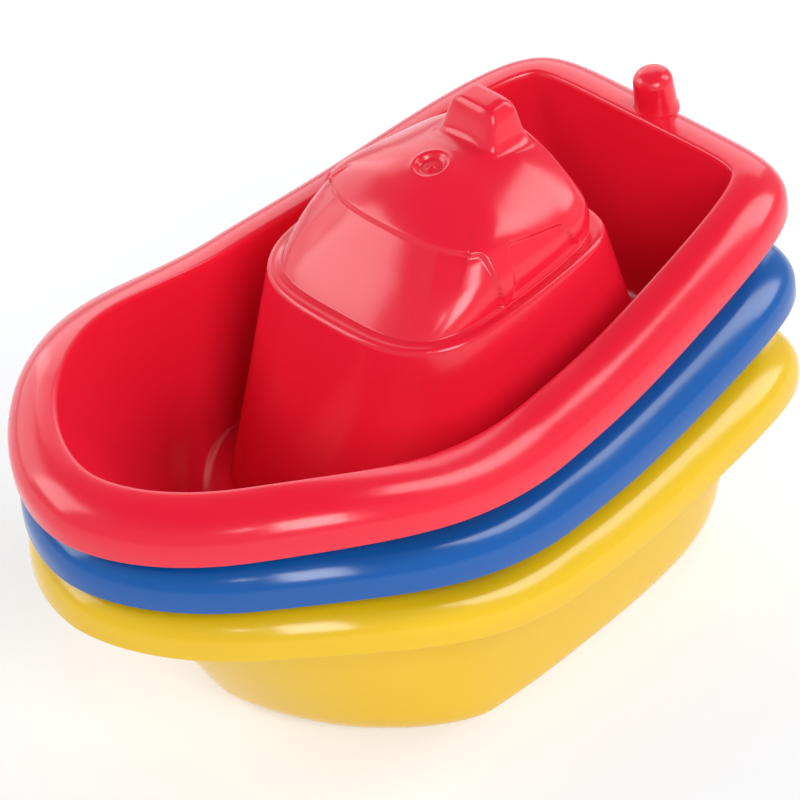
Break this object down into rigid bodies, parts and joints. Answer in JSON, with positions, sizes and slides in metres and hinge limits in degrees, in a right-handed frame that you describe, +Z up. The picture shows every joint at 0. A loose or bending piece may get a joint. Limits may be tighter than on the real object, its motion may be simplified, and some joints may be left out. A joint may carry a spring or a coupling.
{
  "type": "toy boat",
  "caption": "Nesting toy tugboats: broad open plastic hulls with a rolled rim, moulded deckhouse, funnel and stern bollard, that stack and lift apart.",
  "frame": {"origin": "centre of the bounding box's footprint, on the surface that the lowest boat stands on", "axes": "+X from stern to bow, +Y to port, +Z up"},
  "size_m": [0.2032, 0.124, 0.1303],
  "materials": {
    "yellow_plastic": "gloss",
    "blue_plastic": "gloss",
    "red_plastic": "gloss"
  },
  "bodies": {
    "yellow": {"yellow_boat": "yellow_plastic"},
    "blue": {"blue_boat": "blue_plastic"},
    "red": {"red_boat": "red_plastic"}
  },
  "joints": [
    {"name": "blue_lift", "type": "slide", "parent": "yellow", "child": "blue", "axis": [0, 0, 1], "range_m": [0, 0.09]},
    {"name": "red_lift", "type": "slide", "parent": "blue", "child": "red", "axis": [0, 0, 1], "range_m": [0, 0.09]}
  ]
}
